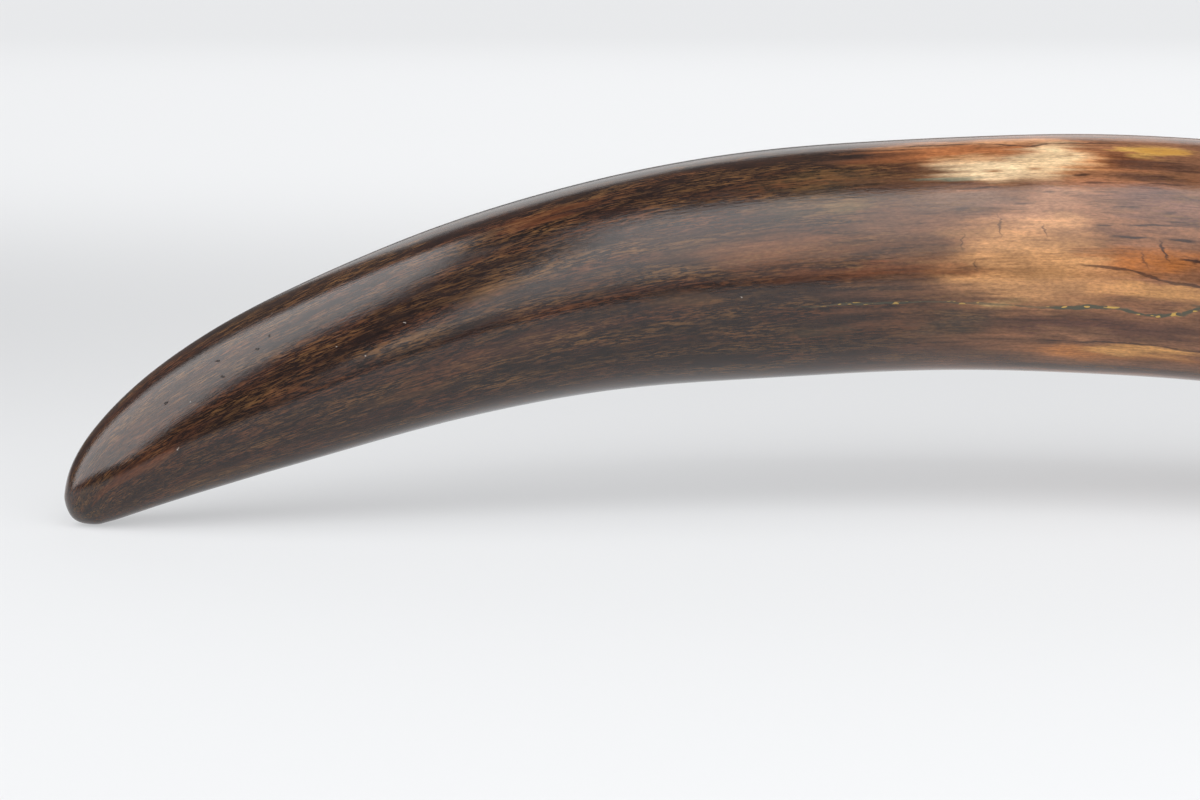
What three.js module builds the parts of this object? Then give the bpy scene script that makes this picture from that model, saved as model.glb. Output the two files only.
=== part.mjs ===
// A mammoth tusk, grown in one piece and polished all over.
// It lies on the underside of its tip, on its middle and on the rim of its root.
// Millimetres, +Z up. The tip points to -X, and the hollow root is at the +X end.
import * as THREE from 'three';

// Driving dimensions, in millimetres and degrees.
const tuskLength = 1280;
const noseLength = 5;
const rimChamfer = 1.5;
const cavityDepth = 240;
const cavityRadius = 27;

// The way the tusk grows, from the tip (along = 0) to the sawn root.
// climb is the rise of its centre line above level, turn is its heading away from +X towards +Y,
// and slant leans its slightly oval section, as a part of the radius.
const stations = [
  { along: 0, climb: 51.4, turn: 17.1, radius: 5.5, slant: 0 },
  { along: 12, climb: 45.3, turn: 16.6, radius: 12.7, slant: -0.03 },
  { along: 30, climb: 33.3, turn: 16.8, radius: 18.4, slant: -0.07 },
  { along: 75, climb: 22, turn: 15.5, radius: 26.7, slant: -0.095 },
  { along: 150, climb: 16, turn: 13.3, radius: 34.3, slant: -0.05 },
  { along: 260, climb: 5.8, turn: 6.6, radius: 41.1, slant: -0.045 },
  { along: 380, climb: 0.2, turn: -3.4, radius: 44.4, slant: -0.035 },
  { along: 500, climb: -6.2, turn: -17.6, radius: 45.2, slant: -0.02 },
  { along: 630, climb: -11, turn: -27, radius: 48, slant: 0 },
  { along: 790, climb: 0, turn: -39, radius: 49, slant: 0.02 },
  { along: 1000, climb: 0, turn: -55, radius: 49.5, slant: -0.02 },
  { along: tuskLength, climb: -1.5, turn: -75, radius: 48, slant: -0.03 },
];

// Shallow flutes that run the length of the tusk and wind slowly round it.
const flutes = [
  { count: 3, depth: 0.45, twist: 0.05 },
  { count: 7, depth: 0.22, twist: -0.08 },
];
const fluteFadeIn = 160;

// Slow swellings of the girth, as in the years of its growth.
const swellings = [
  { every: 215, height: 0.3 },
  { every: 124, height: 0.2 },
];

// Facets: how finely the skin is divided.
const sides = 52;
const ringSpacing = 18;
const ringGrowth = 0.3;
const cavityRings = 8;

// A smooth curve through the stations: the slope at each is the mean of its neighbours' slopes.
function smooth(along, key) {
  const last = stations.length - 1;
  let left = 0;
  while (left < last - 1 && along >= stations[left + 1].along) {
    left += 1;
  }
  const rise = (index) => {
    const start = stations[index];
    const end = stations[index + 1];
    return (end[key] - start[key]) / (end.along - start.along);
  };
  const slope = (index) => {
    if (index === 0) return rise(0);
    if (index === last) return rise(last - 1);
    return (rise(index - 1) + rise(index)) / 2;
  };
  const a = stations[left];
  const b = stations[left + 1];
  const span = b.along - a.along;
  const t = (along - a.along) / span;
  const fromValues = (2 * t ** 3 - 3 * t ** 2 + 1) * a[key] + (3 * t ** 2 - 2 * t ** 3) * b[key];
  const fromSlopes = (t ** 3 - 2 * t ** 2 + t) * slope(left) + (t ** 3 - t ** 2) * slope(left + 1);
  return fromValues + fromSlopes * span;
}

function tangentAt(along) {
  const climb = THREE.MathUtils.degToRad(smooth(along, 'climb'));
  const turn = THREE.MathUtils.degToRad(smooth(along, 'turn'));
  return new THREE.Vector3(
    Math.cos(climb) * Math.cos(turn),
    Math.cos(climb) * Math.sin(turn),
    Math.sin(climb),
  );
}

// The centre line, one point for each millimetre of length.
function centreLine() {
  const points = [new THREE.Vector3(0, 0, 0)];
  for (let along = 0; along < tuskLength; along += 1) {
    points.push(points[along].clone().add(tangentAt(along + 0.5)));
  }
  return points;
}

// The section's own axes: one level and to the right of the line of growth, one upward.
function sectionAxes(along) {
  const tangent = tangentAt(along);
  const level = new THREE.Vector3().crossVectors(tangent, new THREE.Vector3(0, 0, 1)).normalize();
  const upward = new THREE.Vector3().crossVectors(level, tangent);
  return { level, upward };
}

// The skin's distance from the centre line. The angle runs from level to upward.
function skinRadius(along, angle) {
  const roundNose = Math.sqrt(1 - (1 - Math.min(along / noseLength, 1)) ** 2);
  const oval = 1 + smooth(along, 'slant') * Math.sin(2 * angle);
  let radius = smooth(along, 'radius') * roundNose * oval;
  const fade = Math.min(along / fluteFadeIn, 1);
  for (const flute of flutes) {
    const phase = flute.count * angle + THREE.MathUtils.degToRad(flute.count * flute.twist * along);
    radius += flute.depth * fade * Math.cos(phase);
  }
  for (const swelling of swellings) {
    radius += swelling.height * fade * Math.sin((2 * Math.PI * along) / swelling.every);
  }
  return radius;
}

// The pulp cavity: a slender hollow cone, a little rounded at its inner end.
function cavityRadiusAt(along) {
  const fromApex = (along - (tuskLength - cavityDepth)) / cavityDepth;
  return cavityRadius * fromApex ** 0.8;
}

const centres = centreLine();

function ring(along, radiusAt) {
  const { level, upward } = sectionAxes(along);
  const points = [];
  for (let side = 0; side < sides; side += 1) {
    const angle = (2 * Math.PI * side) / sides;
    const radius = radiusAt(angle);
    const point = centres[along].clone();
    point.addScaledVector(level, radius * Math.cos(angle));
    point.addScaledVector(upward, radius * Math.sin(angle));
    points.push(point);
  }
  return points;
}

// Rings from the tip to the root: close together at the nose, evenly spaced further on.
function outerRings() {
  const rings = [];
  let along = 1;
  while (along < tuskLength - ringSpacing / 2) {
    const here = along;
    rings.push(ring(here, (angle) => skinRadius(here, angle)));
    along += Math.round(THREE.MathUtils.clamp(along * ringGrowth, 1, ringSpacing));
  }
  return rings;
}

// The sawn root: a rounded outer edge, a flat face and the rounded mouth of the cavity.
function rootRings() {
  const edge = tuskLength - Math.ceil(rimChamfer);
  return [
    ring(edge, (angle) => skinRadius(edge, angle)),
    ring(tuskLength, (angle) => skinRadius(tuskLength, angle) - rimChamfer),
    ring(tuskLength, () => cavityRadius + rimChamfer),
    ring(edge, () => cavityRadiusAt(edge)),
  ];
}

function innerRings() {
  const rings = [];
  for (let step = cavityRings - 1; step > 0; step -= 1) {
    const along = Math.round(tuskLength - cavityDepth * (1 - (step / cavityRings) ** 1.5));
    rings.push(ring(along, () => cavityRadiusAt(along)));
  }
  return rings;
}

// One closed skin: out from the tip, over the root face and into the cavity to its apex.
function tuskGeometry() {
  const rings = [...outerRings(), ...rootRings(), ...innerRings()];
  const points = [centres[0], ...rings.flat(), centres[tuskLength - cavityDepth]];
  const apex = points.length - 1;
  const indices = [];
  for (let side = 0; side < sides; side += 1) {
    const next = (side + 1) % sides;
    indices.push(0, 1 + side, 1 + next);
    for (let row = 0; row < rings.length - 1; row += 1) {
      const here = 1 + row * sides;
      const beyond = here + sides;
      indices.push(here + side, beyond + side, beyond + next);
      indices.push(here + side, beyond + next, here + next);
    }
    const lastRow = 1 + (rings.length - 1) * sides;
    indices.push(lastRow + side, apex, lastRow + next);
  }
  const geometry = new THREE.BufferGeometry().setFromPoints(points);
  geometry.setIndex(indices);
  geometry.computeVertexNormals();
  return geometry;
}

// Polished fossil ivory: dark brown and glossy.
const polishedIvory = new THREE.MeshStandardMaterial({
  name: 'polished_ivory',
  color: 0x4b2b18,
  roughness: 0.22,
  metalness: 0,
});

// The tusk stands centred over the origin, with its lowest point on the ground.
function tusk() {
  const geometry = tuskGeometry();
  geometry.computeBoundingBox();
  const { min, max } = geometry.boundingBox;
  const mesh = new THREE.Mesh(geometry, polishedIvory);
  mesh.name = 'tusk';
  mesh.position.set(-(min.x + max.x) / 2, -(min.y + max.y) / 2, -min.z);
  return mesh;
}

const group = new THREE.Group();
group.add(tusk());

export default group;
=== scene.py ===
import math

import bmesh
import bpy
import numpy as np
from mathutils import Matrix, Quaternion, Vector, noise


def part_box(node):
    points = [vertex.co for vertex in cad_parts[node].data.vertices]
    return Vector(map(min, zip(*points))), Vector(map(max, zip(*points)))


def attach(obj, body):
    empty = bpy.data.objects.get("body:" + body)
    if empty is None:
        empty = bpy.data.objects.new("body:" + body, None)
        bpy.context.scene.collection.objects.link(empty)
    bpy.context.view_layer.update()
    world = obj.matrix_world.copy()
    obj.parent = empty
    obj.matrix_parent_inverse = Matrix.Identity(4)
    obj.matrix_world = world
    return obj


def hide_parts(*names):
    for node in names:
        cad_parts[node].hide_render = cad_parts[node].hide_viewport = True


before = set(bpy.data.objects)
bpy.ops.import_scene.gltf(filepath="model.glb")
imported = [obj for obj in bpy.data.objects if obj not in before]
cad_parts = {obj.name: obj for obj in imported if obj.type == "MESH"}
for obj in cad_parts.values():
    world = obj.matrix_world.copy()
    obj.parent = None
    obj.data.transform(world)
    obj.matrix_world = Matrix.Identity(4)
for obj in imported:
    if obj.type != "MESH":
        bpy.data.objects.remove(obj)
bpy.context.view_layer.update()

scene = bpy.context.scene
METRE = 1000  # millimetres in a metre: the tusk's own sizes are in millimetres


# The table and the camera.
# A white acrylic light table, wide enough to fill the view from every side, seen ten degrees from
# above through a long lens. It glows a little from below, which thins the shadows.
def linear(colour):
    """An sRGB hex colour as the linear colour that a shader takes."""
    parts = [int(colour[i:i + 2], 16) / 255 for i in (1, 3, 5)]
    return [p / 12.92 if p <= 0.04045 else ((p + 0.055) / 1.055) ** 2.4 for p in parts] + [1]


def add(tree, kind, settings, output=0):
    """Adds a node. Settings are its properties, its inputs by name or number, or its stops."""
    node = tree.nodes.new("ShaderNode" + kind)
    for name, value in settings.items():
        if name == "stops":
            ramp = node.color_ramp.elements
            while len(ramp) < len(value):
                ramp.new(1)
            for stop, (place, colour) in zip(ramp, value):
                stop.position = place
                stop.color = linear(colour)
        elif isinstance(name, str) and hasattr(node, name):
            setattr(node, name, value)
        elif isinstance(value, bpy.types.NodeSocket):
            tree.links.new(value, node.inputs[name])
        else:
            node.inputs[name].default_value = value
    return node.outputs[output]


TABLE_SIZE = 16
bpy.ops.object.select_all(action="DESELECT")
bpy.ops.mesh.primitive_plane_add(size=TABLE_SIZE)
table = bpy.context.active_object
table.name = "table"
opal_acrylic = bpy.data.materials.new("lit_opal_acrylic")
opal_acrylic.use_nodes = True
opal = opal_acrylic.node_tree.nodes["Principled BSDF"].inputs
opal["Base Color"].default_value = linear("#959697")
opal["Roughness"].default_value = 0.9
opal["Specular IOR Level"].default_value = 0.2
opal["Emission Color"].default_value = linear("#fcfdff")
opal["Emission Strength"].default_value = 0.48
table.data.materials.append(opal_acrylic)

camera = bpy.data.objects.new("camera", bpy.data.cameras.new("camera"))
camera.data.lens = 100
camera.data.sensor_width = 36
camera.location = (-0.3203, -0.9885, 0.2573)
camera.rotation_euler = (math.radians(80), 0, 0)
scene.collection.objects.link(camera)
scene.camera = camera
scene.view_settings.view_transform = "Standard"


# The lights.
# Plain studio soft boxes: a broad one overhead, one at the tip's side, one in front and two
# behind, with dark gaps between them that show as dark bands in the polish.
def soft_box(name, place, facing, width, height, radiance, spread=180, lean=0):
    """A panel of light that faces a point. Its radiance is that of the panel seen square on."""
    light = bpy.data.lights.new(name, "AREA")
    light.shape = "RECTANGLE"
    light.size = width
    light.size_y = height
    light.spread = math.radians(spread)
    half = light.spread / 2
    narrowing = (math.tan(half) - half) / math.tan(half) if spread < 180 else 1
    light.energy = radiance * math.pi * width * height * narrowing
    panel = bpy.data.objects.new(name, light)
    panel.location = place
    aim = (Vector(facing) - Vector(place)).to_track_quat("-Z", "Y")
    panel.rotation_euler = (aim @ Quaternion((0, 0, 1), math.radians(lean))).to_euler()
    panel.visible_camera = False
    scene.collection.objects.link(panel)
    return panel


soft_box("overhead_soft_box", (1.00, -1.00, 0.90), (1.00, -1.00, 0), 2.8, 2.3, 2.9, 152)
soft_box("tip_side_soft_box", (-0.90, 0.06, 1.02), (0.10, 0.05, 0.91), 1.08, 1.75, 2.8, lean=19.8)
soft_box("front_soft_box", (0.85, -1.50, 0.52), (0.85, 0, 0.30), 2.4, 0.56, 0.6)
soft_box("back_soft_box", (0.75, 2.50, 1.08), (0.75, 0, 0.13), 3.7, 1.15, 0.9)
soft_box("background_soft_box", (0, 2.80, 0.7), (0, 2.80, 0), 6.5, 3.6, 4.5, 90)

room = bpy.data.worlds.new("dim_white_room")
scene.world = room
room.use_nodes = True
room.node_tree.nodes["Background"].inputs["Color"].default_value = linear("#ffffff")
room.node_tree.nodes["Background"].inputs["Strength"].default_value = 0.15


# The tusk.
# One mammoth tusk, grown round its pulp in one curve from the tip to a sawn hollow root.
# It is modelled as a straight blank, which then takes the girth, the flutes and the curve of the
# growth.
TUSK_LENGTH = 1280
NOSE_LENGTH = 5
RIM_CHAMFER = 1.5
CAVITY_DEPTH = 240
CAVITY_RADIUS = 27
BLANK_RADIUS = 48

# Along the growth from the tip: the climb above level, the heading from +X to +Y, the radius, and
# the lean of the slightly oval section.
STATIONS = np.array([
    (0, 51.4, 17.1, 5.5, 0),
    (12, 45.3, 16.6, 12.7, -0.03),
    (30, 33.3, 16.8, 18.4, -0.07),
    (75, 22, 15.5, 26.7, -0.095),
    (150, 16, 13.3, 34.3, -0.05),
    (260, 5.8, 6.6, 41.1, -0.045),
    (380, 0.2, -3.4, 44.4, -0.035),
    (500, -6.2, -17.6, 45.2, -0.02),
    (630, -11, -27, 48, 0),
    (790, 0, -39, 49, 0.02),
    (1000, 0, -55, 49.5, -0.02),
    (TUSK_LENGTH, -1.5, -75, 48, -0.03),
])
FLUTES = [(3, 0.45, 0.05), (7, 0.22, -0.08)]
FLUTE_FADE_IN = 160
SWELLINGS = [(215, 0.3), (124, 0.2)]


def smooth(along, column):
    """A smooth curve through one column of the stations, as in the tusk's source."""
    ends = STATIONS[:, 0]
    values = STATIONS[:, column]
    rises = np.diff(values) / np.diff(ends)
    slopes = np.concatenate([rises[:1], (rises[1:] + rises[:-1]) / 2, rises[-1:]])
    left = np.clip(np.searchsorted(ends, along, side="right") - 1, 0, len(ends) - 2)
    span = ends[left + 1] - ends[left]
    t = (along - ends[left]) / span
    from_values = (2 * t**3 - 3 * t**2 + 1) * values[left] + (3 * t**2 - 2 * t**3) * values[left + 1]
    from_slopes = (t**3 - 2 * t**2 + t) * slopes[left] + (t**3 - t**2) * slopes[left + 1]
    return from_values + from_slopes * span


def tangents(along):
    """The directions of growth, as unit vectors."""
    climb = np.radians(smooth(along, 1))
    turn = np.radians(smooth(along, 2))
    return np.stack([np.cos(climb) * np.cos(turn), np.cos(climb) * np.sin(turn), np.sin(climb)], 1)


def skin_radius(along, angle):
    """The skin's distance from the centre line; the angle runs from level to upward."""
    round_nose = np.sqrt(1 - (1 - np.minimum(along / NOSE_LENGTH, 1)) ** 2)
    radius = smooth(along, 3) * round_nose * (1 + smooth(along, 4) * np.sin(2 * angle))
    fade = np.minimum(along / FLUTE_FADE_IN, 1)
    for count, depth, twist in FLUTES:
        radius = radius + depth * fade * np.cos(count * angle + np.radians(count * twist * along))
    for every, height in SWELLINGS:
        radius = radius + height * fade * np.sin(2 * np.pi * along / every)
    return radius


# The blank: a straight tube, closed by hand at the tip, and turned in at the root.
SIDES = 256
TIP_DRAW = 1.6  # how strongly the rings crowd towards the tip
bpy.ops.object.select_all(action="DESELECT")
tube_length = TUSK_LENGTH - RIM_CHAMFER
bpy.ops.mesh.primitive_cylinder_add(
    vertices=SIDES, radius=BLANK_RADIUS, depth=tube_length, end_fill_type="NOTHING",
    location=(tube_length / 2, 0, 0), rotation=(0, math.pi / 2, 0))
tusk = bpy.context.active_object
tusk.name = "ivory_tusk"
tusk.data.name = "ivory_tusk"
bpy.ops.object.transform_apply(location=True, rotation=True, scale=True)


def choose_edges(test):
    """In edit mode, selects the edges whose two ends pass the test."""
    shape = bmesh.from_edit_mesh(tusk.data)
    for edge in shape.edges:
        edge.select_set(test(edge.verts[0].co, edge.verts[1].co))
    shape.select_flush(False)
    bmesh.update_edit_mesh(tusk.data)


# The root's profile, from the edge of the skin inwards, as (along, share of the blank's radius).
RIM_STEPS = 4
FACE_STEPS = 7
MOUTH_STEPS = 3
CAVITY_STEPS = 24
root_profile = []
for step in range(1, RIM_STEPS + 1):
    bend = math.radians(90) * step / RIM_STEPS
    root_profile.append((tube_length + RIM_CHAMFER * math.sin(bend),
                         1 - RIM_CHAMFER * (1 - math.cos(bend)) / BLANK_RADIUS))
face_edge = BLANK_RADIUS - RIM_CHAMFER
mouth_edge = CAVITY_RADIUS + RIM_CHAMFER
for step in range(1, FACE_STEPS + 1):
    reach = face_edge + (mouth_edge - face_edge) * step / FACE_STEPS
    root_profile.append((TUSK_LENGTH, reach / BLANK_RADIUS))
for step in range(1, MOUTH_STEPS + 1):
    bend = math.radians(90) * step / MOUTH_STEPS
    root_profile.append((TUSK_LENGTH - RIM_CHAMFER * (1 - math.cos(bend)),
                         (mouth_edge - RIM_CHAMFER * math.sin(bend)) / BLANK_RADIUS))
for step in range(CAVITY_STEPS - 1, 0, -1):
    part = (step / CAVITY_STEPS) ** 1.5
    root_profile.append((TUSK_LENGTH - CAVITY_DEPTH + (CAVITY_DEPTH - RIM_CHAMFER) * part,
                         CAVITY_RADIUS * part**0.8 / BLANK_RADIUS))

bpy.ops.object.mode_set(mode="EDIT")
bpy.ops.mesh.select_mode(type="EDGE")
choose_edges(lambda a, b: min(a.x, b.x) > tube_length - 1)
here, share = tube_length, 1
for next_along, next_share in root_profile:
    bpy.ops.mesh.extrude_edges_move(TRANSFORM_OT_translate={"value": (next_along - here, 0, 0)})
    shrink = next_share / share
    bpy.ops.transform.resize(value=(1, shrink, shrink), center_override=(next_along, 0, 0))
    here, share = next_along, next_share
bpy.ops.mesh.extrude_edges_move(
    TRANSFORM_OT_translate={"value": (TUSK_LENGTH - CAVITY_DEPTH - here, 0, 0)})
bpy.ops.mesh.merge(type="CENTER")

# Two rounds of cuts across the skin, then the tip is drawn to a point.
nearly_out = BLANK_RADIUS * 0.999
for cuts in (19, 15):
    choose_edges(lambda a, b: abs(a.x - b.x) > 1 and min(a.yz.length, b.yz.length) > nearly_out)
    bpy.ops.mesh.subdivide(number_cuts=cuts)
choose_edges(lambda a, b: max(a.x, b.x) < 1)
bpy.ops.mesh.merge(type="CENTER")
bpy.ops.mesh.select_all(action="SELECT")
bpy.ops.mesh.normals_make_consistent(inside=False)
bpy.ops.object.mode_set(mode="OBJECT")
bpy.ops.object.shade_smooth()

# Where each point of the blank lies in the growth.
blank = np.empty(len(tusk.data.vertices) * 3)
tusk.data.vertices.foreach_get("co", blank)
blank = blank.reshape(-1, 3)
share = np.hypot(blank[:, 1], blank[:, 2]) / BLANK_RADIUS
angle = np.arctan2(blank[:, 2], blank[:, 1])
at_tip = (share < 0.01) & (blank[:, 0] < 1)
on_skin = ((share > 0.9999) | at_tip) & (blank[:, 0] < tube_length + 0.01)
in_cavity = ~on_skin & (share < (CAVITY_RADIUS + 0.01) / BLANK_RADIUS)
drawn = tube_length * np.clip(blank[:, 0] / tube_length, 0, 1) ** TIP_DRAW
along = np.where(on_skin, drawn, blank[:, 0])
skin = skin_radius(along, angle)

# Low relief that the polish has left: soft waves and long drying cracks.
# Each crack is (along from, along to, angle at its start and end in degrees, width, depth).
CRACKS = [
    (560, 760, 66, 58, 2.0, 1.0),
    (690, 900, 20, 26, 1.8, 0.8),
    (850, 1110, 96, 88, 2.2, 1.2),
    (980, 1278, 150, 158, 2.2, 1.2),
    (930, 1278, 36, 30, 2.4, 1.4),
    (1040, 1278, -42, -50, 2.2, 1.2),
    (760, 1010, -120, -112, 2.0, 1.0),
    (1120, 1278, 74, 76, 1.8, 0.9),
    (1080, 1278, -168, -160, 2.2, 1.1),
    (520, 700, -150, -158, 1.8, 0.8),
]
WAVES = [(70, 16, 0.10), (26, 7, 0.035)]  # length and width of the lumps, and their height


def waves(along, angle, radius):
    """How far the skin stands out at one point."""
    across = Vector((0, radius * math.cos(angle), radius * math.sin(angle)))
    return sum(amount * noise.noise(across / width + Vector((along / length, 0, 0)))
               for length, width, amount in WAVES)


def crack_depth(along, angle, radius):
    """How deep the drying cracks are at one point."""
    deepest = 0
    for start, end, first, last, width, depth in CRACKS:
        part = (along - start) / (end - start)
        if 0 < part < 1:
            wander = 4 * noise.noise(Vector((along / 30, first, 0)))
            middle = math.radians(first + (last - first) * part + wander)
            off = radius * abs((angle - middle + math.pi) % (2 * math.pi) - math.pi)
            ends = min(part / 0.25, (1 - part) / 0.25, 1) if end < tube_length else min(part / 0.25, 1)
            deepest = max(deepest, depth * ends * math.exp(-((off / (width / 2)) ** 2)))
    return deepest


stand_out = np.array([waves(*point) for point in zip(along, angle, skin)]) * np.minimum(along / 20, 1)
crack_depths = np.array([crack_depth(*point) for point in zip(along, angle, skin)])
stand_out = np.where(on_skin, stand_out - crack_depths, 0)
cracked = crack_depths / crack_depths.max()
skin_part = np.clip((share * BLANK_RADIUS - mouth_edge) / (BLANK_RADIUS - mouth_edge), 0, 1)
radius = share * (BLANK_RADIUS + (skin - BLANK_RADIUS) * skin_part) + stand_out
radius = np.where(on_skin & (share < 0.01), 0, np.where(on_skin, skin + stand_out, radius))

# The centre line, one point for each millimetre, and the section's level and upward axes.
steps = np.vstack([np.zeros((1, 3)), tangents(np.arange(TUSK_LENGTH) + 0.5)])
line = np.cumsum(steps, 0)
centre = np.stack([np.interp(along, np.arange(TUSK_LENGTH + 1), line[:, i]) for i in range(3)], 1)
tangent = tangents(along)
level = np.cross(tangent, (0, 0, 1))
level /= np.linalg.norm(level, axis=1)[:, None]
upward = np.cross(level, tangent)
points = centre + radius[:, None] * (np.cos(angle)[:, None] * level + np.sin(angle)[:, None] * upward)

# The source centres the tusk over the origin by its box, which the node's own box repeats.
box_low, box_high = (np.array(corner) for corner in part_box("tusk"))
found_low, found_high = points.min(0) / METRE, points.max(0) / METRE
points = points / METRE + (box_low + box_high - found_low - found_high) / 2
points[:, 2] += box_low[2] - points[:, 2].min()
tusk.data.vertices.foreach_set("co", points.ravel())

# The ivory's material reads where a point lies along, across and up in the growth, and
# whether it is on the skin (0), the sawn face (1) or the cavity's wall (2). Towards the tip the
# growth draws in less than the skin, as the streaks there run together.
grown_radius = np.where(on_skin, BLANK_RADIUS * (radius / BLANK_RADIUS) ** 0.4, radius)
growth = np.stack([along, grown_radius * np.cos(angle), grown_radius * np.sin(angle)], 1)
tusk.data.attributes.new("growth", "FLOAT_VECTOR", "POINT").data.foreach_set("vector", growth.ravel())
layer = np.where(on_skin, 0.0, np.where(in_cavity, 2.0, 1.0))
tusk.data.attributes.new("layer", "FLOAT", "POINT").data.foreach_set("value", layer)

# A flat map for baking: the skin in two strips, the sawn face as a disc, the cavity as a strip.
uv_map = tusk.data.uv_layers.new(name="OFBake")
corner_point = np.empty(len(tusk.data.loops), int)
tusk.data.loops.foreach_get("vertex_index", corner_point)
face_start = np.array([face.loop_start for face in tusk.data.polygons])
face_size = np.array([face.loop_total for face in tusk.data.polygons])
corner_face = np.repeat(np.arange(len(face_start)), face_size)


def face_mean(values):
    """The mean of a value over the corners of each face."""
    return np.bincount(corner_face, values[corner_point]) / face_size


face_turn = np.arctan2(face_mean(np.sin(angle) * share), face_mean(np.cos(angle) * share))[corner_face]
own_turn = np.where(share[corner_point] < 0.001, face_turn, angle[corner_point])
turned = face_turn + (own_turn - face_turn + np.pi) % (2 * np.pi) - np.pi
around = (turned + np.pi) / (2 * np.pi)
corner_along = along[corner_point]
face_layer = face_mean(layer)[corner_face]
half_way = TUSK_LENGTH / 2
in_second = (face_mean(along) > half_way)[corner_face]
strip_u = 0.01 + 0.98 * (corner_along - half_way * in_second) / (half_way + 4)
strip_v = 0.005 + 0.42 * around + 0.43 * in_second
reach = share[corner_point] * BLANK_RADIUS + np.maximum(TUSK_LENGTH - corner_along, 0)
disc_u = 0.07 + 0.0012 * reach * np.cos(own_turn)
disc_v = 0.93 + 0.0012 * reach * np.sin(own_turn)
wall_u = 0.16 + 0.82 * (corner_along - (TUSK_LENGTH - CAVITY_DEPTH)) / CAVITY_DEPTH
wall_v = 0.87 + 0.12 * around
on_strip, on_disc = face_layer < 0.4, face_layer < 1.4
uv = np.stack([np.where(on_strip, strip_u, np.where(on_disc, disc_u, wall_u)),
               np.where(on_strip, strip_v, np.where(on_disc, disc_v, wall_v))], 1)
uv_map.data.foreach_set("uv", uv.ravel())


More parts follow.
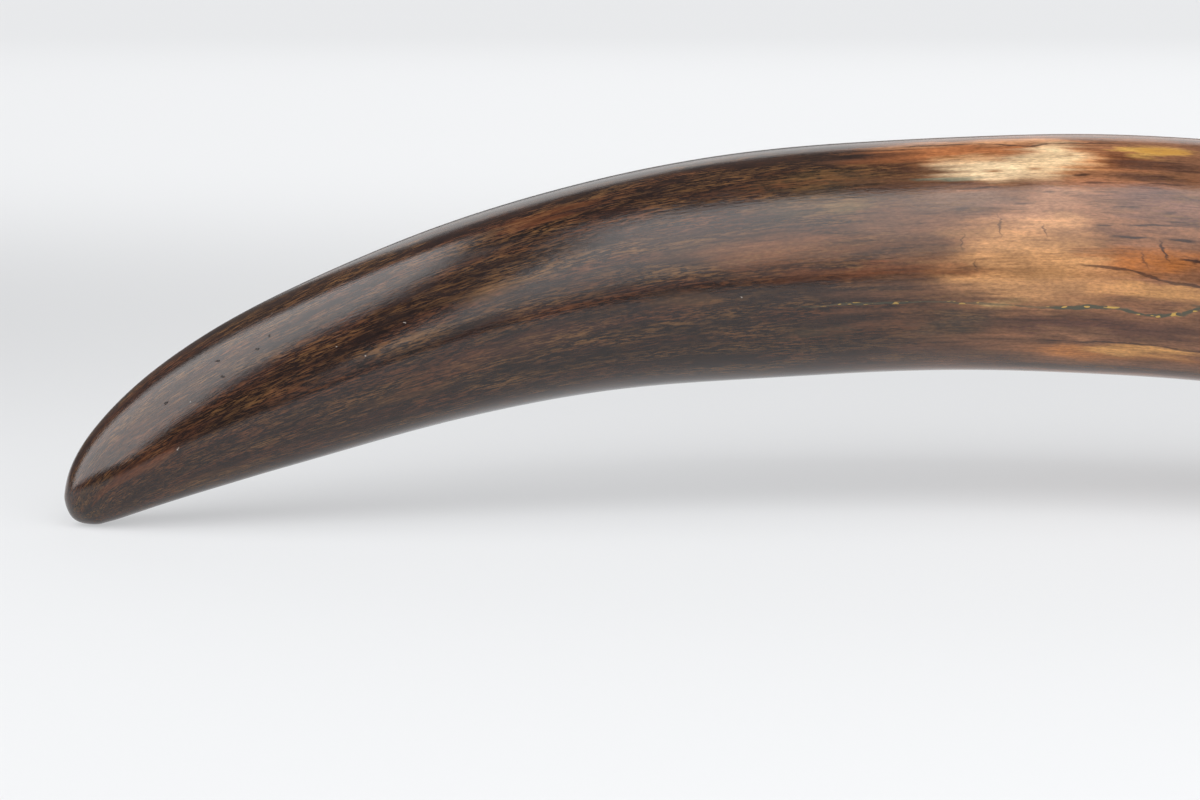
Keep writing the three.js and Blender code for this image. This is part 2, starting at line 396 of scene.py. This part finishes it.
# The ivory.
# Fossil mammoth ivory, waxed and polished to a gloss. Minerals from the ground have stained it
# from cream through caramel and red-brown to nearly black, in streaks that follow the growth.
# The broad stains are laid on the points of the mesh: first the ground colour, by its run along the
# tusk, then each stain as along, angle, half length, half width, colour and strength. Two of them
# are no stain but a painted reflection: the thin line along the level side, 130 to 400 mm from the
# tip. Runs and lengths are in millimetres, angles and widths in degrees, with 0 facing out level at
# the right of the growth and 90 upward.
GROUND = [
    (0, "#281a17"), (110, "#1e1312"), (230, "#231715"), (305, "#2c1e19"), (352, "#6a4630"),
    (400, "#8a5c3e"), (448, "#7a523a"), (560, "#553828"), (690, "#805638"), (820, "#4b3024"),
    (960, "#744d34"), (1100, "#452d22"), (1200, "#6b452f"), (1280, "#452d22")]
STAINS_AND_PAINTED_REFLECTION = [
    # The dark run behind the tip.
    (26, 5, 16, 12, "#5e3218", 0.6), (50, -37, 16, 7, "#513722", 0.5), (110, 34, 70, 14, "#200e0a", 0.5),
    (56, 16, 34, 12, "#1d100d", 0.6), (4, 20, 10, 80, "#1d1b1c", 0.9), (64, 58, 50, 22, "#30211d", 0.6),
    (90, -40, 60, 14, "#33221c", 0.5), (132, -21, 26, 7, "#4b3220", 0.5),
    (174, 22, 26, 7, "#47331f", 0.6), (244, -6, 20, 6, "#573c25", 0.5), (175, -12, 44, 9, "#462b21", 0.5),
    (198, 66, 26, 7, "#5e321a", 0.7), (200, 56, 34, 5, "#140c0a", 0.8), (270, -18, 24, 9, "#271b19", 0.6),
    (300, -42, 70, 18, "#251816", 0.6), (285, 15, 54, 13, "#6b4329", 0.8),
    (240, 26, 40, 10, "#42291f", 0.5), (292, -29, 26, 4, "#463927", 0.5),
    (300, 55, 42, 8, "#3e3222", 0.7), (300, 40, 34, 12, "#4a3a28", 0.5), (311, 36, 11, 6, "#6b5636", 0.6),
    (336, 26, 26, 12, "#6e4a35", 0.6),
    # The pale patches, and what lies in them and round them.
    (328, 68, 20, 11, "#5e361f", 0.7), (352, 70, 30, 10, "#a2633a", 0.9),
    (374, 80, 26, 7, "#c99064", 0.8), (350, 36, 22, 11, "#6e5343", 0.7), (378, 3, 45, 29, "#b98657", 1.0),
    (386, 32, 22, 18, "#a47658", 0.7), (370, 57, 29, 14, "#d2b792", 1.0),
    (388, 62, 20, 19, "#d0b28b", 1.0), (402, 60, 12, 12, "#c08352", 0.6),
    (345, 80, 22, 4, "#b47f58", 0.8), (357, 65, 16, 3.5, "#c08f63", 0.7),
    (334, 73, 14, 3.5, "#8f5a37", 0.7), (330, 60, 18, 4, "#3f281d", 0.7),
    (415, 62, 15, 11, "#66391f", 0.8), (432, 60, 28, 7, "#3c2822", 0.8), (428, 71, 13, 7, "#b38a48", 1.0),
    (450, 84, 30, 6, "#5c3c32", 0.7), (430, 35, 34, 15, "#664539", 0.9), (424, 7, 30, 7, "#a0602e", 0.9),
    (430, -9, 38, 7, "#bd8852", 1.0), (366, -16, 9, 3.8, "#97794f", 1.0),
    (350, -27, 26, 9, "#3f342a", 0.85), (404, -27, 52, 9, "#52332a", 0.9),
    (403, -32, 14, 5, "#8a6042", 0.8), (414, -44, 50, 9, "#a86a36", 1.0),
    (428, -41, 28, 5.5, "#d59a58", 0.9), (350, -50, 40, 10, "#3f2a22", 0.7),
    (404, -60, 90, 8, "#3a2924", 0.9), (345, -10, 24, 8, "#573927", 0.5),
    (352, 50, 12, 2, "#5d6a5c", 0.7), (470, 20, 30, 18, "#6d4531", 0.6),
    (412, 44, 18, 3.5, "#8f5f45", 0.8), (431, 41, 16, 3, "#46302a", 0.8),
    (442, 28, 18, 3.5, "#452d26", 0.8), (410, 30, 14, 3.5, "#9a6a4c", 0.8),
    (424, 49, 18, 3.5, "#4b332b", 0.8), (420, 20, 20, 3, "#5a3a2c", 0.7),
    (350, 45, 16, 2.5, "#4f3c36", 0.7), (362, 31, 16, 3, "#8c6450", 0.7),
    (386, 44, 14, 3, "#8d6552", 0.7), (393, 23, 18, 5, "#c08c5f", 0.8), (366, -24, 18, 3, "#33221c", 0.7),
    (385, -36, 20, 3, "#35221b", 0.7), (440, -30, 18, 4.5, "#55352a", 0.7),
    # Painted reflection: the thin line along the level side, where the polish mirrors the dark gap
    # between the table's far edge and the lights.
    (330, 1, 70, 4.5, "#66371d", 0.6), (205, 3, 75, 4, "#2e140d", 0.75),
    # The run from the middle to the root, on the upper and outer side.
    (510, -15, 50, 16, "#b07a4c", 0.7), (530, 60, 60, 18, "#c99866", 0.8),
    (545, 64, 26, 8, "#dfc8a0", 0.8), (600, 10, 60, 12, "#3c2620", 0.7),
    (560, -60, 70, 16, "#8d5833", 0.7), (640, -30, 60, 10, "#5d4a31", 0.6),
    (650, 95, 70, 14, "#43291f", 0.7), (700, 30, 70, 20, "#c08a57", 0.8),
    (720, 36, 34, 9, "#dcc199", 0.8), (760, -15, 60, 9, "#8f4f27", 0.7),
    (800, 75, 70, 16, "#9a6138", 0.7), (860, 15, 60, 14, "#452b21", 0.7),
    (900, 60, 60, 10, "#8d6a3c", 0.6), (940, -40, 70, 14, "#b4804f", 0.7),
    (980, 30, 70, 16, "#c79463", 0.8), (1000, 84, 70, 14, "#6c3d22", 0.7),
    (1060, -10, 60, 12, "#3a2520", 0.7), (1090, 50, 70, 14, "#9c6a40", 0.7),
    (1160, 20, 60, 14, "#593726", 0.7), (1190, 80, 60, 16, "#bd8b59", 0.8),
    (1230, -30, 50, 14, "#8a5731", 0.7),
    # The side that faces away, and the underside.
    (470, 120, 70, 18, "#8a4f2a", 0.7), (340, 130, 60, 16, "#6a4029", 0.6),
    (240, 140, 50, 14, "#5a3a28", 0.5), (420, 165, 60, 18, "#b17c4c", 0.8),
    (560, 150, 70, 18, "#c79665", 0.8), (690, 170, 70, 16, "#4b2f23", 0.7),
    (780, 135, 70, 18, "#a9713f", 0.8), (900, 160, 70, 16, "#6b4429", 0.7),
    (1010, 140, 70, 18, "#d3ab79", 0.8), (1130, 165, 70, 16, "#563627", 0.7),
    (1200, 140, 60, 16, "#a87344", 0.7), (330, -110, 70, 20, "#4a3024", 0.6),
    (420, -130, 60, 20, "#9c683e", 0.7), (540, -110, 70, 20, "#5d3b29", 0.7),
    (640, -140, 70, 20, "#b57f4d", 0.8), (760, -100, 70, 20, "#6b4229", 0.7),
    (850, -150, 70, 20, "#c59261", 0.8), (960, -110, 70, 18, "#513324", 0.7),
    (1060, -140, 70, 20, "#9b6439", 0.7), (1170, -105, 70, 20, "#c18e5c", 0.8),
    (1240, -150, 50, 16, "#54351f", 0.7),
]

# Where the golden streaks lie thickest: along, angle, half length, half width and strength.
GILDED = [
    (176, 24, 26, 7, 1.0), (140, 12, 30, 6, 0.6), (148, -15, 30, 8, 0.8), (90, 8, 30, 6, 0.5),
    (248, -8, 24, 4, 0.7), (318, -31, 44, 5, 0.7), (308, 38, 20, 9, 0.9), (300, 55, 40, 6, 0.9),
    (60, -40, 40, 9, 0.5), (185, -38, 44, 10, 0.5), (40, 35, 24, 26, 0.5), (345, -34, 22, 5, 0.6),
    (205, 66, 40, 9, 0.4), (250, 22, 50, 6, 0.5), (560, 20, 90, 12, 0.6), (640, 60, 90, 12, 0.6),
    (760, -40, 90, 12, 0.6), (860, 110, 90, 12, 0.6), (1000, 10, 90, 12, 0.6), (1140, 60, 90, 12, 0.6),
    (1160, -60, 90, 12, 0.6), (700, 150, 90, 12, 0.6), (980, -150, 90, 12, 0.6), (480, -140, 90, 12, 0.6),
]


def wobble(length, width, seed):
    """Noise at every point, three values about 0, drawn out along the growth."""
    return np.array([
        noise.noise_vector((s / length + seed, y / width, z / width + seed)) for s, y, z in growth])


NOISE_SEED = 4  # with no seed set, noise_vector takes one from the clock
noise.seed_set(NOISE_SEED)
broad = wobble(40, 11, 3)
ragged = wobble(13, 3.5, 8)
streaky = wobble(26, 1.6, 5)
long_streaks = wobble(80, 4, 9)

# The noise frays the rims of the stains, and more so from the middle of the tusk to its root.
wilder = 0.2 + np.clip((along - 440) / 80, 0, 1)
stain_along = (along + 9 * broad[:, 0] + 7 * ragged[:, 0] + 12 * streaky[:, 0]
               + 30 * wilder * long_streaks[:, 0])
stain_turns = (np.degrees(angle) + 2.5 * broad[:, 1] + 3 * ragged[:, 1] + 2 * streaky[:, 1]
               + 6 * wilder * long_streaks[:, 1])
ground_along = stain_along + 26 * streaky[:, 2]
broad_stain_and_painted_reflection = np.stack([np.interp(
    ground_along, [s for s, colour in GROUND], [linear(colour)[i] for s, colour in GROUND])
    for i in range(3)], 1)


def patch(along_at, angle_at, long, wide, strength):
    """How strongly a patch lies on every point: fully in its middle, and fading to its rim."""
    round_off = (stain_turns - angle_at + 180) % 360 - 180
    inward = np.clip(1.5 * (1 - np.hypot((stain_along - along_at) / long, round_off / wide)), 0, 1)
    return strength * inward**2 * (3 - 2 * inward)


for *oval, colour, strength in STAINS_AND_PAINTED_REFLECTION:
    broad_stain_and_painted_reflection += patch(*oval, strength)[:, None] * (np.array(linear(colour)[:3]) - broad_stain_and_painted_reflection)
gilding = np.max([patch(*oval) for oval in GILDED], 0)
shade = (0.3 * broad[:, 2] + 0.3 * ragged[:, 2] + 0.3 * streaky[:, 2]
         + 0.6 * wilder * long_streaks[:, 2])
broad_stain_and_painted_reflection *= np.exp(shade)[:, None]
broad_stain_and_painted_reflection *= (1 - 0.85 * cracked)[:, None]  # darker in the cracks
with_alpha = np.hstack([np.clip(broad_stain_and_painted_reflection, 0, 0.8), np.ones((len(along), 1))])
tusk.data.attributes.new("stain", "FLOAT_COLOR", "POINT").data.foreach_set("color", with_alpha.ravel())
tusk.data.attributes.new("gilding", "FLOAT", "POINT").data.foreach_set("value", gilding)

ivory = bpy.data.materials.new("polished_fossil_ivory")
ivory.use_nodes = True
tree = ivory.node_tree
grown = add(tree, "Attribute", {"attribute_name": "growth"}, "Vector")
broad_colour = add(tree, "Attribute", {"attribute_name": "stain"}, "Color")
layers = add(tree, "Attribute", {"attribute_name": "layer"}, "Fac")
gilded = add(tree, "Attribute", {"attribute_name": "gilding"}, "Fac")
apart = add(tree, "SeparateXYZ", {0: grown}).node.outputs
radians = add(tree, "Math", {"operation": "ARCTAN2", 0: apart["Z"], 1: apart["Y"]})
degrees = add(tree, "Math", {"operation": "DEGREES", 0: radians})
place = add(tree, "CombineXYZ", {"X": apart["X"], "Y": degrees})


def grain(length, width, detail, seed, output=0):
    """Noise drawn out along the growth, with spots of that length and width in millimetres."""
    stretched = add(tree, "Mapping", {
        0: grown, "Location": (seed * 7.3, seed * 3.1, seed * 5.7),
        "Scale": (1 / length, 1 / width, 1 / width)})
    return add(tree, "TexNoise", {
        "Vector": stretched, "Scale": 1, "Detail": detail, "Roughness": 0.55}, output)


def between(value, low, high, to_low=0.0, to_high=1.0):
    """A value's way from low to high, as a way from one amount to another."""
    return add(tree, "MapRange", {
        "Value": value, "From Min": low, "From Max": high, "To Min": to_low, "To Max": to_high})


def times(first, second):
    """Two values multiplied."""
    return add(tree, "Math", {"operation": "MULTIPLY", 0: first, 1: second})


def spot(along, angle, long, wide, slope=0, strength=1, core=0.0):
    """A soft oval on the skin: full strength in its core, and nothing at its rim."""
    inside = add(tree, "Mapping", {
        "vector_type": "TEXTURE", 0: near_place, "Location": (along, angle, 0),
        "Rotation": (0, 0, math.radians(slope)), "Scale": (long, wide, 1)})
    off = add(tree, "VectorMath", {"operation": "LENGTH", 0: inside}, "Value")
    return add(tree, "MapRange", {
        "interpolation_type": "SMOOTHSTEP", "Value": off, "From Min": core, "From Max": 1,
        "To Min": strength, "To Max": 0})


def marks(ovals):
    """One mask for many ovals, each given as for a spot."""
    highest = spot(*ovals[0])
    for oval in ovals[1:]:
        highest = add(tree, "Math", {"operation": "MAXIMUM", 0: highest, 1: spot(*oval)})
    return highest


def thread(points, half_wide, strength=1):
    """A thin line through points of (along, angle), as a chain of narrow ovals."""
    links = []
    for (along_a, angle_a), (along_b, angle_b) in zip(points, points[1:]):
        reach = math.hypot(along_b - along_a, angle_b - angle_a) * 0.76
        slope = math.degrees(math.atan2(angle_b - angle_a, along_b - along_a))
        links.append(((along_a + along_b) / 2, (angle_a + angle_b) / 2, reach, half_wide, slope,
                      strength, 0.55))
    return links


def stain(below, colour, amount):
    """Lays a colour over what is below it."""
    return add(tree, "Mix", {"data_type": "RGBA", 0: amount, 6: below, 7: linear(colour)}, 2)


# Streaks that follow the growth: golden ones on the dark ivory, and dark ones on the pale.
# Most are half a millimetre to one millimetre wide, like the real ones.
paleness = between(add(tree, "RGBToBW", {0: broad_colour}), 0.03, 0.16)
drift = between(grain(34, 6, 3, 9), 0.36, 0.62, 0.15, 1)
richer = add(tree, "Math", {
    "operation": "MULTIPLY_ADD", 0: gilded, 1: 0.07, 2: grain(6.5, 0.75, 4, 5)})
golden = between(richer, 0.50, 0.60, 0, 0.74)
fine_gold = between(grain(3.6, 0.45, 2, 15), 0.53, 0.61, 0, 0.55)
thick = add(tree, "Math", {"operation": "MAXIMUM", 0: drift, 1: gilded})
golden = times(add(tree, "Math", {"operation": "MAXIMUM", 0: golden, 1: fine_gold}), thick)
golden = times(golden, between(paleness, 0, 1, 1, 0.2))
gold_or_rust = add(tree, "Mix", {
    "data_type": "RGBA", 0: between(grain(45, 9, 2, 19), 0.42, 0.58), 6: linear("#6d432a"),
    7: linear("#7a5634")}, 2)
skin_colour = add(tree, "Mix", {"data_type": "RGBA", 0: golden, 6: broad_colour, 7: gold_or_rust}, 2)
dark_drift = between(grain(26, 7, 2, 12), 0.38, 0.62, 0.15, 0.8)
dark = times(between(grain(13, 0.7, 3, 11), 0.50, 0.66), dark_drift)
skin_colour = stain(skin_colour, "#22130f", times(dark, between(paleness, 0, 1, 0.75, 0.45)))
short = between(grain(2.2, 0.7, 2, 6), 0.3, 0.7, 0.76, 1.26)
skin_colour = add(tree, "VectorMath", {"operation": "SCALE", 0: skin_colour, "Scale": short})

# Small brown spots in the cream, dark dashes, and the fine cracks across the growth. Each mark is
# given as along, angle, half length, half width, slope and strength.
push = add(tree, "VectorMath", {
    "operation": "SUBTRACT", 0: grain(9, 2.2, 3, 2, "Color"), 1: (0.5, 0.5, 0.5)})
near_place = add(tree, "VectorMath", {"operation": "MULTIPLY_ADD", 0: push, 1: (7, 3.2, 0), 2: place})
DASHES = [
    (357, 43, 14, 0.9, 2, 0.6), (398, 51, 5, 0.9, 0, 0.8),
    (385, 40, 5, 0.9, 0, 0.6), (376, 33, 5, 1.2, 0, 0.6), (352, 31, 6, 1.1, 0, 0.5),
    (340, 29, 6, 1.0, 0, 0.5), (426, 23, 16, 0.9, 2, 0.85), (418, 16.5, 11, 1.1, 0, 0.9),
    (443, 7, 8, 1.2, -4, 0.9), (407, 22, 4, 0.9, 0, 0.8), (415, 32, 7, 0.8, 0, 0.7),
    (367, 21.5, 0.7, 9, 6, 0.6), (384, 19, 0.7, 4.5, 15, 0.6), (352, 14, 0.7, 6.5, 0, 0.5),
    (357, 2, 0.6, 3.5, 0, 0.5), (431, 11, 0.9, 7.5, 28, 0.85), (460, 40, 14, 1, 3, 0.7),
    (430, 46, 12, 0.9, 2, 0.6), (408, 40, 8, 0.8, 0, 0.5), (440, 56, 10, 1.2, 0, 0.6),
    (438, 16.5, 10, 1.1, 0, 0.9), (404, 46, 9, 0.9, 0, 0.6), (432, 30, 5, 1.4, 0, 0.6),
    (378, 45, 6, 0.9, 0, 0.5), (424, 6, 0.8, 6, 24, 0.5),
]
skin_colour = stain(skin_colour, "#7d4c26", marks([
    (364, 68, 4.5, 1.9, 0, 0.8), (366, 54.5, 6, 1.8, 4, 0.85), (381, 56, 6, 2.4, 0, 0.7),
    (350, 67, 8, 1.3, 0, 0.8), (394, 66, 4, 2, 10, 0.4)]))
skin_colour = stain(skin_colour, "#b8883f", times(
    between(grain(3, 1.2, 2, 21), 0.36, 0.5, 0.4, 1), spot(428, 71, 12, 4, 0, 0.9, 0.6)))
dark_lines = [(*dash, 0.25) for dash in DASHES]
for points in [
        [(335, 79), (360, 79), (380, 74), (388, 77), (412, 77)],
        [(400, 2.5), (420, 0.5), (432, -3), (450, -5), (475, -3)],
        [(398, -37), (414, -36), (432, -37), (460, -40)]]:
    dark_lines += thread(points, 0.9, 0.7)
skin_colour = stain(skin_colour, "#2a1c1a", marks(dark_lines))

# A grey-green thread of mineral, with specks of gold in it.
vein = marks(thread([
    (385, -18), (415, -17), (424, -20), (440, -18.5), (449, -13.5), (480, -15), (520, -9),
    (560, -12)], 1.3, 0.95) + thread([(292, -14), (340, -15), (385, -18)], 0.8, 0.6))
skin_colour = stain(skin_colour, "#4a4a3b", vein)
specks = between(grain(5, 1.2, 1, 14), 0.59, 0.62)
skin_colour = stain(skin_colour, "#c9a04e", times(specks, vein))

# Pits left near the tip, painted near black as painted shade, and pale specks where the polish
# has lifted: along, angle and size in millimetres.
PITS = [(72, 58, 0.8), (72, 41, 0.7), (50, 48, 0.7), (86, 50, 0.6), (93, 56, 0.5)]
SPECKS = [(45, 1, 0.5), (121, 10, 0.4), (138, 22, 0.4), (58, 35, 0.3), (112, 24, 0.3), (265, -6, 0.4)]
pits = marks([(s, a, size, math.degrees(size / skin_radius(s, 1)), 0, 1, 0.4) for s, a, size in PITS])
# Painted shade: the pits are darkened to near black.
skin_colour = stain(skin_colour, "#120a09", pits)
skin_colour = stain(skin_colour, "#b3aaa2", marks(
    [(s, a, size, math.degrees(size / skin_radius(s, 1)), 0, 0.8, 0.3) for s, a, size in SPECKS]))

# The sawn root: tan dentine in rings of growth, crossed by the fine diamonds that mammoth ivory
# shows, with radial drying cracks and a dark rim of cement. The rings and diamonds are coarser
# than the real ones, so that they show.
flat_place = add(tree, "CombineXYZ", {"X": apart["Y"], "Y": apart["Z"]})
reach = add(tree, "VectorMath", {"operation": "LENGTH", 0: flat_place}, "Value")
face_noise = add(tree, "TexNoise", {"Vector": flat_place, "Scale": 0.12, "Detail": 4})
warped = add(tree, "Math", {"operation": "MULTIPLY_ADD", 0: face_noise, 1: 5, 2: reach})
rings = add(tree, "Math", {"operation": "SINE", 0: times(warped, 2.6)})
leaning = [add(tree, "Math", {"operation": "SINE", 0: add(tree, "Math", {
    "operation": "MULTIPLY_ADD", 0: radians, 1: 46, 2: times(reach, bend)})}) for bend in (1.3, -1.3)]
diamonds = times(leaning[0], leaning[1])
dentine = add(tree, "ValToRGB", {0: between(warped, 28, 47), "stops": [
    (0.0, "#7d6044"), (0.25, "#a98a5e"), (0.62, "#bd9d6f"), (0.84, "#94683a"), (0.93, "#4f3220"),
    (1.0, "#3a241b")]})
shading = add(tree, "Math", {"operation": "MULTIPLY_ADD", 0: rings, 1: 0.07, 2: 1})
shading = add(tree, "Math", {"operation": "MULTIPLY_ADD", 0: diamonds, 1: 0.09, 2: shading})
dentine = add(tree, "VectorMath", {"operation": "SCALE", 0: dentine, "Scale": shading})
fan = add(tree, "CombineXYZ", {"X": radians, "Y": times(reach, 0.006)})
fan_noise = add(tree, "TexNoise", {"Vector": fan, "Scale": 5, "Detail": 3})
off_middle = add(tree, "Math", {"operation": "ABSOLUTE", 0: add(tree, "Math", {
    "operation": "SUBTRACT", 0: fan_noise, 1: 0.5})})
dentine = stain(dentine, "#33231a", between(off_middle, 0.001, 0.010, 0.75, 0))

# The wall of the pulp cavity: unpolished, browned by the earth and ridged by the yearly growth.
ridges = add(tree, "Math", {"operation": "SINE", 0: times(apart["X"], 1.3)})
wall_shade = add(tree, "Math", {"operation": "MULTIPLY_ADD", 0: ridges, 1: 0.12, 2: grain(14, 5, 4, 16)})
wall = add(tree, "ValToRGB", {0: wall_shade, "stops": [
    (0.25, "#3d2a1e"), (0.5, "#6d4f35"), (0.75, "#937050")]})
inside = add(tree, "Mix", {"data_type": "RGBA", 0: between(layers, 1, 2), 6: dentine, 7: wall}, 2)
sawn = between(layers, 0.1, 0.9)
ivory_colour = add(tree, "Mix", {"data_type": "RGBA", 0: sawn, 6: skin_colour, 7: inside}, 2)

# The polish varies a little, and the sawn face and the cavity are duller.
polish = between(grain(20, 6, 3, 17), 0.3, 0.7, 0.11, 0.18)
dullness = add(tree, "Mix", {0: sawn, 2: polish, 3: between(layers, 1, 2, 0.4, 0.75)}, 0)
height = add(tree, "Math", {"operation": "MULTIPLY_ADD", 0: pits, 1: -10, 2: grain(4, 0.8, 3, 18)})
bump = add(tree, "Bump", {"Strength": 1, "Distance": 0.04 / METRE, "Height": height})

shader = tree.nodes["Principled BSDF"]
tree.links.new(ivory_colour, shader.inputs["Base Color"])
tree.links.new(dullness, shader.inputs["Roughness"])
tree.links.new(bump, shader.inputs["Normal"])
shader.inputs["IOR"].default_value = 1.54
tusk.data.materials.clear()
tusk.data.materials.append(ivory)
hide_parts("tusk")
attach(tusk, "root")
